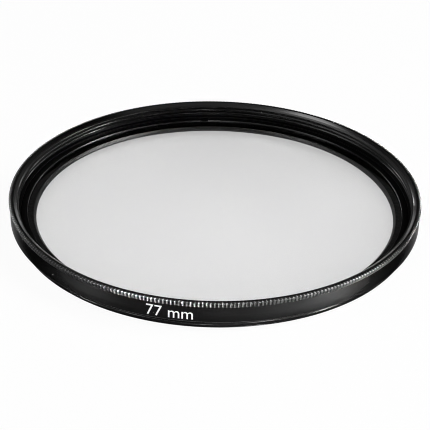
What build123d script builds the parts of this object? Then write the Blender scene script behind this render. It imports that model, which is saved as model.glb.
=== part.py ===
"""Screw in lens filter: a turned rim, an optical glass disc and a threaded retaining ring.

Millimetres, +Z along the optical axis towards the front of the lens.  The origin is the centre
of the rear end of the male thread, so the filter lies on z = 0 with its front up.
"""

import os
from math import cos, pi, sin

from build123d import *

# Filter thread, male at the rear and female at the front
thread_diameter = 77.0
thread_pitch = 0.75
male_thread_length = 1.9
thread_end_chamfer = 0.25
relief_width = 0.35
relief_depth = 0.05
lead_in = 0.58
lead_in_height = 0.4

# Outside of the rim: how far the smooth barrel stands out from the thread
total_height = 6.2
barrel_step = 1.25
barrel_edge = 0.22

# Serrated grip round the front corner: its rise above the barrel, deepest cut, and the bevel of its front edge
grip_rise = 0.25
grip_height = 1.05
grip_pitch = 0.722
grip_depth = 0.48
grip_bevel = 0.55
grip_bevel_height = 0.25
grip_ledge = 0.02

# Retaining ring and the bore it is screwed into, which is a step smaller than the front thread
ring_step = 0.394
ring_clearance = 0.03
ring_width = 1.3
ring_height = 0.4
ring_edge = 0.08
ring_thread_below = 0.2
ring_thread_above = 0.15
notch_width = 1.6
notch_depth = 0.22
notch_angle = 94

# Glass, a step smaller than the ring's bore, and the seat that carries its edge
glass_step = 0.6
glass_thickness = 1.0
glass_bevel = 0.2
glass_clearance = 0.15
seat_width = 2.35
seat_height = 1.9
seat_thickness = 0.72
seat_edge = 0.45
rear_wall = 1.7

# Worked out from the sizes above; a 60 degree thread is 0.5413 of its pitch deep
thread_radius = thread_diameter / 2
thread_root = thread_radius - 0.5413 * thread_pitch
barrel_radius = thread_radius + barrel_step
grip_radius = barrel_radius + grip_rise
grip_floor = total_height - grip_height
grip_count = round(2 * pi * grip_radius / grip_pitch)
ring_radius = thread_root - ring_step
glass_radius = ring_radius - glass_step
aperture_radius = glass_radius - seat_width
rear_bore_radius = thread_radius - rear_wall
glass_top = seat_height + glass_thickness
ring_top = glass_top + ring_height
front_relief_floor = ring_top + ring_thread_above
front_thread_floor = front_relief_floor + relief_width


def grip_section(height, crest, depth):
    """Corners of one cross-section of the grip, a crest and a groove for every tooth."""
    half_tooth = pi / grip_count
    root = crest - depth
    corners = []
    for tooth in range(grip_count):
        crest_angle = 2 * tooth * half_tooth
        root_angle = crest_angle + half_tooth
        corners.append((crest * cos(crest_angle), crest * sin(crest_angle), height))
        corners.append((root * cos(root_angle), root * sin(root_angle), height))
    return corners


def flanks(lower, upper, grooves_widen):
    """Flat facets between two cross-sections; each groove comes to a point at its narrow end."""
    facets = []
    for here in range(len(lower)):
        after = (here + 1) % len(lower)
        here_is_crest = here % 2 == 0
        if here_is_crest == grooves_widen:
            facets.append((lower[here], lower[after], upper[here]))
            facets.append((lower[after], upper[after], upper[here]))
        else:
            facets.append((lower[here], lower[after], upper[after]))
            facets.append((lower[here], upper[after], upper[here]))
    return facets


# What is bored out of the rim, from the rear to the front: radius, floor, ceiling
with BuildPart() as hollow:
    bores = (
        (rear_bore_radius, 0, seat_height - seat_thickness),
        (aperture_radius, 0, total_height),
        (glass_radius + glass_clearance, seat_height, total_height),
        (ring_radius, glass_top - ring_thread_below, total_height),
        (thread_radius + relief_depth, front_relief_floor, front_thread_floor),
        (thread_root, front_thread_floor, total_height),
    )
    for radius, floor, ceiling in bores:
        with BuildSketch(Plane.XY.offset(floor)):
            Circle(radius)
        extrude(amount=ceiling - floor)
    cones = (
        (aperture_radius, seat_height - seat_edge, aperture_radius + seat_edge, seat_height),
        (thread_radius, total_height - lead_in_height, thread_radius + lead_in, total_height),
    )
    for low_radius, floor, high_radius, ceiling in cones:
        with BuildSketch(Plane.XY.offset(floor)):
            Circle(low_radius)
        with BuildSketch(Plane.XY.offset(ceiling)):
            Circle(high_radius)
        loft()

# Rim: grooves across the front corner, turned barrel and rear thread, then the bores
with BuildPart() as filter_ring:
    foot = grip_section(grip_floor, barrel_radius - grip_ledge, 0)
    waist = grip_section(total_height - grip_bevel_height, grip_radius, grip_depth)
    front = grip_section(total_height, grip_radius - grip_bevel, 0)
    facets = flanks(foot, waist, True) + flanks(waist, front, False) + [foot, front]
    add(Solid(Shell([Face(Wire.make_polygon(corners)) for corners in facets])))
    with BuildSketch(Plane.XZ):
        with BuildLine():
            Polyline(
                (0, 0),
                (thread_radius - thread_end_chamfer, 0),
                (thread_radius, thread_end_chamfer),
                (thread_radius, male_thread_length - relief_width),
                (thread_root - relief_depth, male_thread_length - relief_width),
                (thread_root - relief_depth, male_thread_length),
                (barrel_radius - barrel_edge, male_thread_length),
                (barrel_radius, male_thread_length + barrel_edge),
                (barrel_radius, grip_floor),
                (0, grip_floor),
                close=True,
            )
        make_face()
    revolve(axis=Axis.Z)
    add(hollow.part, mode=Mode.SUBTRACT)
filter_ring.part.label = "filter_ring"

# Glass: a flat disc with bevelled edges, resting on the rim's seat
with BuildPart() as glass_disc:
    with BuildSketch(Plane.XY.offset(seat_height)):
        Circle(glass_radius)
    extrude(amount=glass_thickness)
    chamfer(glass_disc.edges().filter_by(GeomType.CIRCLE), length=glass_bevel)
glass_disc.part.label = "glass_disc"

# Retaining ring: screwed down on the glass, with two notches for a spanner
with BuildPart() as retaining_ring:
    with BuildSketch(Plane.XY.offset(glass_top)):
        Circle(ring_radius - ring_clearance)
        Circle(ring_radius - ring_width, mode=Mode.SUBTRACT)
    extrude(amount=ring_height)
    top_edges = retaining_ring.edges().filter_by(GeomType.CIRCLE).group_by(Axis.Z)[-1]
    chamfer(top_edges, length=ring_edge)
    with BuildSketch(Plane.XY.offset(ring_top - notch_depth)):
        Rectangle(2 * ring_radius, notch_width, rotation=notch_angle)
    extrude(amount=notch_depth, mode=Mode.SUBTRACT)
retaining_ring.part.label = "retaining_ring"

os.makedirs("parts", exist_ok=True)
export_step(filter_ring.part, "parts/filter_ring.step")
export_step(glass_disc.part, "parts/glass_disc.step")
export_step(retaining_ring.part, "parts/retaining_ring.step")
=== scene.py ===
from math import atan2, cos, radians, sin, tau

import bmesh
import bpy
from mathutils import Matrix, Vector


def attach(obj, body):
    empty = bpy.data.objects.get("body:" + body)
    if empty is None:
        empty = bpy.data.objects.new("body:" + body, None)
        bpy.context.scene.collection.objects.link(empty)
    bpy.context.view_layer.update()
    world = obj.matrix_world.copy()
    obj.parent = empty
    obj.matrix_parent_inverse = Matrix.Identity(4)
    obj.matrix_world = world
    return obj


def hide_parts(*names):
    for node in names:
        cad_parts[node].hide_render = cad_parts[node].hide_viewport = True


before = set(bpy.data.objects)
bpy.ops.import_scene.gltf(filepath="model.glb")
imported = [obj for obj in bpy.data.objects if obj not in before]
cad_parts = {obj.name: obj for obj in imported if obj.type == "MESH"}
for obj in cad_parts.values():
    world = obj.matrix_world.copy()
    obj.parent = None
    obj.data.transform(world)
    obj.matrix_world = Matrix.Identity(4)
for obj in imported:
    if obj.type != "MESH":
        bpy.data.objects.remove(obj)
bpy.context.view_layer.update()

# Rim
# Turned from one bar of aluminium, bead blasted and black anodised.  The threads, the seat of the glass and
# the serrated grip are all cut in the one piece, so it is one closed ring.
MM = 0.001
FRONT = 6.2
BARREL_RADIUS = 39.75
BARREL_FLOOR = 1.9
# Barrel and grip lie further out than this
OUTSIDE = 39.2
THREAD_PITCH = 0.75
MALE_CREST = 38.5
FEMALE_CREST = 38.094
THREAD_DEPTH = MALE_CREST - FEMALE_CREST
THREAD_ROWS = THREAD_PITCH / 10
# Radius of the plain rings that the two threads are cut in
MALE_BLANK = 38.2
FEMALE_BLANK = 38.3
MALE_END_RADIUS = 38.25
MALE_THREAD_TOP = 1.55
MALE_RELIEF_RADIUS = 38.044
FEMALE_THREAD_FLOOR = 3.8
FEMALE_RELIEF_RADIUS = 38.55
FEMALE_RELIEF_FLOOR = 3.45
LEAD_IN_FLOOR = 5.8
LEAD_IN_SLOPE = 1.45
LEAD_IN_TOP_RADIUS = MALE_CREST + (FRONT - LEAD_IN_FLOOR) * LEAD_IN_SLOPE
RING_BORE_RADIUS = 37.7
RING_BORE_FLOOR = 2.7
GLASS_BORE_RADIUS = 37.25
SEAT = 1.9
SEAT_UNDERSIDE = 1.18
APERTURE_RADIUS = 34.75
REAR_BORE_RADIUS = 36.8
GRIP_TEETH = 348
GRIP_FLOOR = 5.15
# Height, radius of the crests and radius of the bottom of the grooves, up the grip
GRIP_ROWS = (
    (5.15, 39.750, 39.750),
    (5.21, 39.780, 39.690),
    (5.29, 39.820, 39.675),
    (5.38, 39.860, 39.680),
    (5.48, 39.900, 39.700),
    (5.58, 39.940, 39.730),
    (5.68, 39.970, 39.755),
    (5.78, 39.990, 39.773),
    (5.88, 39.998, 39.780),
    (5.96, 39.980, 39.768),
    (6.02, 39.930, 39.732),
    (6.08, 39.790, 39.650),
    (6.14, 39.620, 39.585),
    (6.20, 39.450, 39.450),
)
GROOVE_SLOPE = 1.15
GROOVE_HALF_WIDTH = 0.19


def turned(section, steps):
    """A closed ring spun round the optical axis from its section, a list of radius and height in mm."""
    bm = bmesh.new()
    corners = [bm.verts.new((radius * MM, 0, height * MM)) for radius, height in section]
    sides = [bm.edges.new(pair) for pair in zip(corners, corners[1:] + corners[:1])]
    bmesh.ops.spin(
        bm, geom=corners + sides, cent=(0, 0, 0), axis=(0, 0, 1), angle=tau, steps=steps, use_merge=True
    )
    bmesh.ops.remove_doubles(bm, verts=bm.verts, dist=1e-7)
    bmesh.ops.recalc_face_normals(bm, faces=bm.faces)
    return bm


def finished(name, bm, crease, *materials):
    """The mesh as an object at the origin, smooth but for edges that turn by more than the crease angle."""
    bm.normal_update()
    for face in bm.faces:
        face.smooth = True
    for edge in bm.edges:
        edge.smooth = edge.calc_face_angle(0) < crease
    mesh = bpy.data.meshes.new(name)
    bm.to_mesh(mesh)
    bm.free()
    for material in materials:
        mesh.materials.append(material)
    piece = bpy.data.objects.new(name, mesh)
    bpy.context.scene.collection.objects.link(piece)
    return piece


def thread_form(height, angle, start):
    """Share of the thread's depth, 1 on the crest and 0 in the root of a right-hand 60 degree thread."""
    from_crest = 2 * abs((height / THREAD_PITCH - angle / tau + start) % 1 - 0.5)
    return min(1, max(0, (0.75 - from_crest) / 0.625))


def grip_place(crest, bottom, angle):
    """Radius and angle of a point of the grip, on the top of a crest or one of seven lines along a groove."""
    tooth, line = divmod(round(angle / tau * GRIP_TEETH * 8), 8)
    if line == 0:
        return crest, angle
    half_width = min(GROOVE_HALF_WIDTH, (crest - bottom) / GROOVE_SLOPE)
    across = (line - 4) / 3
    radius = bottom + (crest - bottom) * abs(across)
    return radius, (tooth + 0.5) * tau / GRIP_TEETH + across * half_width / crest


def rows(low, high):
    """Heights from low to high, close enough together to carry the thread."""
    count = round((high - low) / THREAD_ROWS)
    return [low + (high - low) * row / count for row in range(count + 1)]


rim_section = [(REAR_BORE_RADIUS, 0.0)]
rim_section += [(MALE_BLANK, height) for height in rows(0, MALE_THREAD_TOP)]
rim_section += [(MALE_RELIEF_RADIUS, MALE_THREAD_TOP), (MALE_RELIEF_RADIUS, BARREL_FLOOR)]
rim_section += [(BARREL_RADIUS - 0.26, BARREL_FLOOR), (BARREL_RADIUS - 0.21, BARREL_FLOOR + 0.01)]
rim_section += [(BARREL_RADIUS - 0.015, BARREL_FLOOR + 0.20), (BARREL_RADIUS, BARREL_FLOOR + 0.25)]
rim_section += [(BARREL_RADIUS, 3.6), (BARREL_RADIUS, 5.05)]
rim_section += [(crest, height) for height, crest, bottom in GRIP_ROWS]
rim_section += [(LEAD_IN_TOP_RADIUS + 0.07, FRONT), (LEAD_IN_TOP_RADIUS + 0.025, FRONT - 0.004)]
rim_section += [(LEAD_IN_TOP_RADIUS - 0.014, FRONT - 0.016), (LEAD_IN_TOP_RADIUS - 0.058, FRONT - 0.040)]
rim_section += [(FEMALE_BLANK, height) for height in reversed(rows(FEMALE_THREAD_FLOOR, LEAD_IN_FLOOR))]
rim_section += [(FEMALE_RELIEF_RADIUS, FEMALE_THREAD_FLOOR), (FEMALE_RELIEF_RADIUS, FEMALE_RELIEF_FLOOR)]
rim_section += [(RING_BORE_RADIUS, FEMALE_RELIEF_FLOOR), (RING_BORE_RADIUS, RING_BORE_FLOOR)]
rim_section += [(GLASS_BORE_RADIUS, RING_BORE_FLOOR), (GLASS_BORE_RADIUS, SEAT)]
rim_section += [(APERTURE_RADIUS + 0.49, SEAT), (APERTURE_RADIUS + 0.43, SEAT - 0.02)]
rim_section += [(APERTURE_RADIUS + 0.02, SEAT - 0.42), (APERTURE_RADIUS, SEAT - 0.47)]
rim_section += [(APERTURE_RADIUS, SEAT_UNDERSIDE + 0.03), (APERTURE_RADIUS + 0.03, SEAT_UNDERSIDE)]
rim_section += [(REAR_BORE_RADIUS, SEAT_UNDERSIDE)]

rim_mesh = turned(rim_section, 2 * GRIP_TEETH)
grip_edges = [
    edge
    for edge in rim_mesh.edges
    if abs(edge.verts[0].co.z - edge.verts[1].co.z) < 1e-7
    and edge.verts[0].co.z > (GRIP_FLOOR - 0.01) * MM
    and min(vert.co.xy.length for vert in edge.verts) > OUTSIDE * MM
    and 0.1 * MM < edge.calc_length() < 0.5 * MM
]
bmesh.ops.subdivide_edges(rim_mesh, edges=grip_edges, cuts=3)
for vert in rim_mesh.verts:
    radius = vert.co.xy.length / MM
    height = vert.co.z / MM
    angle = atan2(vert.co.y, vert.co.x)
    cut = radius
    if height < MALE_THREAD_TOP + 1e-4 and abs(radius - MALE_BLANK) < 0.01:
        thread = FEMALE_CREST + THREAD_DEPTH * thread_form(height, angle, 0)
        cut = min(thread, MALE_END_RADIUS + height)
    elif FEMALE_THREAD_FLOOR - 1e-4 < height < LEAD_IN_FLOOR + 1e-4 and abs(radius - FEMALE_BLANK) < 0.01:
        thread = MALE_CREST - THREAD_DEPTH * thread_form(height, angle, 0.197)
        cut = max(thread, MALE_CREST + (height - LEAD_IN_FLOOR) * LEAD_IN_SLOPE)
    elif height > GRIP_FLOOR - 0.01 and radius > OUTSIDE:
        crest, bottom = min(GRIP_ROWS, key=lambda row: abs(row[0] - height))[1:]
        cut, angle = grip_place(crest, bottom, angle)
    vert.co.xy = Vector((cos(angle), sin(angle))) * cut * MM
rim_mesh.normal_update()
for face in rim_mesh.faces:
    middle = face.calc_center_median() / MM
    outwards = Vector((middle.x, middle.y, 0)).normalized()
    if GRIP_FLOOR < middle.z < FRONT - 0.001 and middle.xy.length > OUTSIDE:
        # Groove walls get the lighter grip copy, a painted sheen; crest faces keep the rim's tone.
        face.material_index = int(abs(face.normal.cross(outwards).z) > 0.3)
    elif BARREL_FLOOR < middle.z < BARREL_FLOOR + 0.25 and middle.xy.length > OUTSIDE:
        face.material_index = 3
    elif LEAD_IN_FLOOR < middle.z < FRONT - 0.001 and middle.xy.length > MALE_CREST:
        face.material_index = 3
    elif middle.z < GRIP_FLOOR and middle.xy.length > OUTSIDE:
        face.material_index = 2


class Wire:
    """A socket in a sum: an expression on wires adds its Math nodes."""

    def __init__(self, finish, socket):
        self.finish = finish
        self.socket = socket

    def math(self, operation, left, right):
        return self.finish.node("ShaderNodeMath", {"operation": operation}, {0: left, 1: right})

    def __add__(self, other):
        return self.math("ADD", self, other)

    def __mul__(self, other):
        return self.math("MULTIPLY", self, other)

    def __pow__(self, other):
        return self.math("POWER", self, other)

    def __lt__(self, other):
        return self.math("LESS_THAN", self, other)

    def __gt__(self, other):
        return self.math("GREATER_THAN", self, other)

    __radd__ = __add__
    __rmul__ = __mul__


class Finish:
    """A material with one Principled shader and the nodes that feed it."""

    def __init__(self, name, **constants):
        self.material = bpy.data.materials.new(name)
        self.material.use_nodes = True
        self.tree = self.material.node_tree
        self.shader = self.tree.nodes["Principled BSDF"]
        for socket, value in constants.items():
            self.shader.inputs[socket.replace("_", " ")].default_value = value

    def node(self, kind, settings, inputs, output=0):
        made = self.tree.nodes.new(kind)
        for setting, value in settings.items():
            setattr(made, setting, value)
        for socket, value in inputs.items():
            self.feed(made.inputs[socket], value)
        return Wire(self, made.outputs[output])

    def feed(self, socket, value):
        if isinstance(value, Wire):
            self.tree.links.new(value.socket, socket)
        else:
            socket.default_value = value

    def place(self):
        """X, Y, Z and the distance from the optical axis, in mm."""
        point = self.node("ShaderNodeTexCoord", {}, {}, "Object")
        apart = self.node("ShaderNodeSeparateXYZ", {}, {0: point})
        x, y, z = (Wire(self, socket) * (1 / MM) for socket in apart.socket.node.outputs)
        return x, y, z, (x * x + y * y) ** 0.5

    def vector(self, x, y, z):
        return self.node("ShaderNodeCombineXYZ", {}, {0: x, 1: y, 2: z})

    def grain(self, vector, scale, detail=2.0):
        """Noise from 0 to 1 at a vector in mm, with lumps of one part in scale."""
        inputs = {"Vector": vector, "Scale": scale, "Detail": detail}
        return self.node("ShaderNodeTexNoise", {"noise_dimensions": "3D"}, inputs)

    def mix(self, share, low, high):
        """A colour that goes from low to high as the share goes from 0 to 1."""
        return self.node("ShaderNodeMix", {"data_type": "RGBA"}, {0: share, 6: low, 7: high}, 2)


def anodised(name, tone, roughness, edge_tint, brushed=0.0):
    """Black anodised aluminium: a satin blasted skin with the tool's turned lines, some specks of dust and a
    painted sheen that lightens the seat's lip.
    """
    tint = (edge_tint, edge_tint, edge_tint, 1)
    finish = Finish(name, Metallic=1.0, Specular_Tint=tint, Anisotropic=brushed, Anisotropic_Rotation=0.25)
    x, y, z, radius = finish.place()
    point = finish.vector(x, y, z)
    lines = finish.grain(finish.vector(radius, z, 0.0), 9.0, 3.0)
    blast = finish.grain(point, 14.0, 2.0)
    cloud = finish.grain(point, 0.25, 2.0)
    dots = finish.node("ShaderNodeTexVoronoi", {}, {"Vector": point, "Scale": 0.55}, "Distance")
    speck = (dots < 0.045) * (finish.grain(point, 0.6) > 0.52)
    # Painted sheen: the metal inside 35.3 mm, the seat's lip, is made lighter by 0.05 so that it shows a
    # bright reflection.
    lip_painted_sheen = (radius < 35.3) * 0.05
    shade = (lines * 0.35 + blast * 0.35 + cloud * 0.3) * tone + 0.5 * tone + lip_painted_sheen
    metal = finish.vector(shade, shade, shade)
    finish.feed(finish.shader.inputs["Base Color"], finish.mix(speck, metal, (0.16, 0.16, 0.16, 1)))
    finish.feed(finish.shader.inputs["Roughness"], roughness - 0.06 + lines * 0.06 + blast * 0.06)
    bumps = {"Height": blast * 0.7 + lines * 0.3, "Strength": 0.25, "Distance": 0.00001}
    relief = finish.node("ShaderNodeBump", {}, bumps)
    finish.feed(finish.shader.inputs["Normal"], relief)
    return finish.material


rim = finished(
    "rim",
    rim_mesh,
    radians(25),
    anodised("rim_anodised", 0.005, 0.36, 0.5),
    # The grip's groove walls take a copy ten times lighter than the rim's, a painted sheen on the same
    # anodised metal.
    anodised("grip_anodised", 0.05, 0.39, 0.7, 0.7),
    anodised("barrel_anodised", 0.0046, 0.31, 0.4, 0.6),
    anodised("edge_anodised", 0.008, 0.18, 1.0),
)
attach(rim, "root")
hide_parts("filter_ring")

# Glass
# A flat ground and polished disc of optical glass, antireflection coated on both sides, its edges bevelled.
# It lies on the rim's seat.
GLASS_RADIUS = 37.1
GLASS_TOP = 2.9
GLASS_BEVEL = 0.2
glass_mesh = bmesh.new()
bmesh.ops.create_circle(glass_mesh, cap_ends=True, segments=360, radius=GLASS_RADIUS * MM)
bmesh.ops.translate(glass_mesh, verts=glass_mesh.verts, vec=(0, 0, SEAT * MM))
raised = bmesh.ops.extrude_face_region(glass_mesh, geom=glass_mesh.faces[:], use_keep_orig=True)
bmesh.ops.translate(
    glass_mesh,
    verts=[item for item in raised["geom"] if isinstance(item, bmesh.types.BMVert)],
    vec=(0, 0, (GLASS_TOP - SEAT) * MM),
)
bmesh.ops.recalc_face_normals(glass_mesh, faces=glass_mesh.faces)
bmesh.ops.bevel(
    glass_mesh,
    geom=[edge for edge in glass_mesh.edges if abs(edge.verts[0].co.z - edge.verts[1].co.z) < 1e-7],
    offset=GLASS_BEVEL * MM,
    offset_type="OFFSET",
    affect="EDGES",
    segments=2,
    profile=0.5,
    material=-1,
)
clear = Finish("coated_glass", Transmission_Weight=1.0, IOR=1.5, Roughness=0.0)
x, y, z, radius = clear.place()
dust = clear.grain(clear.vector(x, y, z), 2.5, 1.0)
# The glass's grey tint is mostly painted shade: it darkens the paper seen through the glass as the filter's
# shade on the paper would. The darker specks are dust.
clear.feed(
    clear.shader.inputs["Base Color"],
    clear.mix(dust > 0.78, (0.89, 0.89, 0.89, 1), (0.85, 0.85, 0.85, 1)),
)
glass = finished("glass", glass_mesh, radians(10), clear.material)
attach(glass, "root")
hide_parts("glass_disc")

# Retaining ring
# A thin turned ring of black anodised aluminium, threaded outside and screwed down on the glass with a
# spanner in its two notches.
NOTCH_ANGLE = radians(94)
NOTCH_HALF = 0.8
NOTCH_FLOOR = 3.08
RING_RADIUS = 37.67
RING_BORE = 36.4
RING_TOP = 3.3
ring_section = [(RING_RADIUS, GLASS_TOP), (RING_RADIUS, RING_TOP - 0.08)]
ring_section += [(RING_RADIUS - 0.03, RING_TOP - 0.02), (RING_RADIUS - 0.08, RING_TOP)]
ring_section += [(RING_BORE + 0.10, RING_TOP), (RING_BORE + 0.05, RING_TOP - 0.015)]
ring_section += [(RING_BORE + 0.01, RING_TOP - 0.06), (RING_BORE, RING_TOP - 0.11), (RING_BORE, GLASS_TOP)]
ring_mesh = turned(ring_section, 720)
across = Vector((-sin(NOTCH_ANGLE), cos(NOTCH_ANGLE), 0))
for side in (-NOTCH_HALF, 0.01 - NOTCH_HALF, NOTCH_HALF - 0.01, NOTCH_HALF):
    bmesh.ops.bisect_plane(
        ring_mesh,
        geom=ring_mesh.verts[:] + ring_mesh.edges[:] + ring_mesh.faces[:],
        plane_co=across * side * MM,
        plane_no=across,
    )
for vert in ring_mesh.verts:
    if abs(vert.co.dot(across)) < (NOTCH_HALF - 0.005) * MM and vert.co.z > NOTCH_FLOOR * MM:
        vert.co.z = NOTCH_FLOOR * MM
ring = finished(
    "retaining_ring_turned",
    ring_mesh,
    radians(32),
    anodised("ring_anodised", 0.005, 0.32, 0.5),
)
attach(ring, "root")
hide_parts("retaining_ring")

# Size mark
# The thread size in pale grey ink, printed on the barrel with a soft pad after the rim was anodised.
# The ink is a thin skin that stands a little proud of the metal and covers it unevenly.
MARK_HEIGHT = 2.2
MARK_FLOOR = 2.5
MARK_ANGLE = radians(-90 - 11.35)
MARK_STRIP = 0.35
INK_THICKNESS = 0.012
# Height of a figure as a share of the size of the type
FIGURE_SHARE = 0.69
lettering = bpy.data.curves.new("size_mark_text", "FONT")
lettering.body = "77 mm"
lettering.align_x = "CENTER"
lettering.size = MARK_HEIGHT / FIGURE_SHARE * MM
lettering.extrude = INK_THICKNESS * MM
lettering.resolution_u = 6
flat_text = bpy.data.objects.new("size_mark_text", lettering)
bpy.context.scene.collection.objects.link(flat_text)
bpy.context.view_layer.update()
mark_data = bpy.data.meshes.new_from_object(flat_text.evaluated_get(bpy.context.evaluated_depsgraph_get()))
bpy.data.objects.remove(flat_text)
mark_mesh = bmesh.new()
mark_mesh.from_mesh(mark_data)
bmesh.ops.remove_doubles(mark_mesh, verts=mark_mesh.verts, dist=1e-7)
for step in range(-24, 25):
    bmesh.ops.bisect_plane(
        mark_mesh,
        geom=mark_mesh.verts[:] + mark_mesh.edges[:] + mark_mesh.faces[:],
        plane_co=(step * MARK_STRIP * MM, 0, 0),
        plane_no=(1, 0, 0),
    )
for vert in mark_mesh.verts:
    angle = MARK_ANGLE + vert.co.x / (BARREL_RADIUS * MM)
    reach = BARREL_RADIUS * MM + vert.co.z
    vert.co = (reach * cos(angle), reach * sin(angle), MARK_FLOOR * MM + vert.co.y)
ink = Finish("pad_print_ink", Roughness=0.5)
x, y, z, radius = ink.place()
cover = ink.grain(ink.vector(x, y, z), 6.0, 3.0)
ink.feed(ink.shader.inputs["Base Color"], ink.mix(cover, (0.70, 0.70, 0.70, 1), (0.85, 0.85, 0.85, 1)))
mark = finished("size_mark", mark_mesh, radians(30), ink.material)
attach(mark, "root")

# Floor
# A plain sweep of white paper that the filter lies on.  The camera sees it nearly white all over,
# and it still takes the filter's shadow.
floor_mesh = bmesh.new()
bmesh.ops.create_grid(floor_mesh, x_segments=1, y_segments=1, size=6.0)
paper = Finish("white_paper")
paper.tree.nodes.remove(paper.shader)
seen = paper.node("ShaderNodeLightPath", {}, {}, "Is Camera Ray")
mirrored = paper.node("ShaderNodeLightPath", {}, {}, "Is Glossy Ray")
matt = paper.node("ShaderNodeBsdfDiffuse", {}, {"Color": (0.6, 0.6, 0.6, 1)})
white = paper.node("ShaderNodeEmission", {}, {})
sheet = paper.node("ShaderNodeMixShader", {}, {0: seen * 0.95 + mirrored * 0.62, 1: matt, 2: white})
paper.feed(paper.tree.nodes["Material Output"].inputs["Surface"], sheet)
floor_data = bpy.data.meshes.new("floor")
floor_mesh.to_mesh(floor_data)
floor_mesh.free()
floor_data.materials.append(paper.material)
floor = bpy.data.objects.new("floor", floor_data)
floor.location.z = -0.01 * MM
bpy.context.scene.collection.objects.link(floor)

# Light
# An even white room and soft boxes round the table, some with a grid that narrows their beam.
# Each box lights only matt surfaces, sheen on metal, or what lies behind the glass.
world = bpy.data.worlds.new("room")
world.use_nodes = True
world.node_tree.nodes["Background"].inputs["Color"].default_value = (1, 1, 1, 1)
world.node_tree.nodes["Background"].inputs["Strength"].default_value = 0.08
bpy.context.scene.world = world


def soft_box(name, azimuth, elevation, distance, width, height, power, *lights, aim=(0, 0, 0), spread=180):
    """A rectangular lamp, sizes in metres; azimuth 0 is the camera's side and goes to the right."""
    lamp = bpy.data.lights.new(name, "AREA")
    lamp.shape = "RECTANGLE"
    lamp.size = width
    lamp.size_y = height
    lamp.energy = power
    lamp.spread = radians(spread)
    turn, rise = radians(azimuth), radians(elevation)
    box = bpy.data.objects.new(name, lamp)
    box.visible_camera = False
    box.visible_diffuse = "matt" in lights
    box.visible_glossy = "sheen" in lights
    box.visible_transmission = "through glass" in lights
    box.location = Vector((sin(turn) * cos(rise), -cos(turn) * cos(rise), sin(rise))) * distance
    box.rotation_mode = "QUATERNION"
    box.rotation_quaternion = (box.location - Vector(aim)).to_track_quat("Z", "Y")
    bpy.context.scene.collection.objects.link(box)


GRIP_LEFT = (-0.017, -0.036, 0.006)
GRIP_RIGHT = (0.028, -0.028, 0.006)
GRIP_FRONT_RIGHT = (0.02, -0.0346, 0.006)
BARREL_LEFT = (-0.02, -0.0344, 0.0035)
BARREL_RIGHT = (0.0188, -0.0351, 0.0035)
THREAD_BACK_LEFT = (-0.027, 0.027, 0.005)
soft_box("left_grid_box", 34, 14, 0.176, 0.03, 0.045, 0.20, "sheen", aim=GRIP_LEFT, spread=28)
soft_box("right_grid_box", 56, 5, 0.15, 0.036, 0.021, 0.12, "sheen", aim=BARREL_RIGHT, spread=22)
soft_box("front_grid_box", 4, 12, 0.188, 0.03, 0.05, 0.09, "sheen", aim=GRIP_RIGHT, spread=30)
soft_box("front_left_grid_box", -25, 12, 0.19, 0.03, 0.05, 0.035, "sheen", aim=GRIP_FRONT_RIGHT, spread=26)
soft_box("thread_grid_box", 85, 17, 0.15, 0.03, 0.03, 0.06, "sheen", aim=THREAD_BACK_LEFT, spread=20)
soft_box("front_box", -8, 30, 0.6, 0.15, 0.15, 0.15, "sheen")
soft_box("left_box", -92, 60, 0.6, 0.30, 0.25, 8.0, "sheen")
soft_box("left_low_box", -67, 20, 0.5, 0.25, 0.12, 4.0, "sheen")
soft_box("barrel_grid_box", -58, 5, 0.15, 0.036, 0.021, 0.03, "sheen", aim=BARREL_LEFT, spread=20)
soft_box("back_left_box", -136, 6, 0.6, 0.30, 0.08, 28.0, "sheen")
soft_box("back_right_box", 136, 6, 0.6, 0.30, 0.08, 28.0, "sheen")
soft_box("back_box", 180, 5, 1.5, 2.00, 0.26, 2.0, "sheen")
soft_box("top_box", 0, 84, 1.0, 0.90, 0.90, 5.0, "sheen")
soft_box("fill_box", -15, 40, 0.8, 0.40, 0.40, 3.0, "matt")
soft_box("left_fill_box", -72, 49, 0.8, 0.40, 0.40, 1.1, "matt", "through glass")
soft_box("right_fill_box", 85, 45, 0.8, 0.50, 0.50, 8.5, "matt", "through glass")

# Camera
# A long lens at the photograph's viewing angle, turned a little about its own axis and tipped down.
# Its picture is kept crisp, so that the fine grip shows.
CAMERA_DISTANCE = 420
CAMERA_ELEVATION = radians(29.377)
CAMERA_ROLL = radians(1.133)
CAMERA_TILT = radians(-0.567)
camera_data = bpy.data.cameras.new("camera")
camera_data.sensor_width = 36
camera_data.lens = 180.96
camera_data.shift_x = -0.0005
camera_data.clip_start = 0.02
camera = bpy.data.objects.new("camera", camera_data)
backwards = Vector((0, -cos(CAMERA_ELEVATION), sin(CAMERA_ELEVATION)))
camera_place = Vector((0, 0, FRONT * MM)) + backwards * CAMERA_DISTANCE * MM
camera_turn = backwards.to_track_quat("Z", "Y").to_matrix().to_4x4()
camera_turn = camera_turn @ Matrix.Rotation(CAMERA_ROLL, 4, "Z") @ Matrix.Rotation(CAMERA_TILT, 4, "X")
camera.matrix_world = Matrix.Translation(camera_place) @ camera_turn
bpy.context.scene.collection.objects.link(camera)
bpy.context.scene.camera = camera
bpy.context.scene.cycles.filter_width = 1.0
bpy.context.scene.view_settings.view_transform = "Standard"
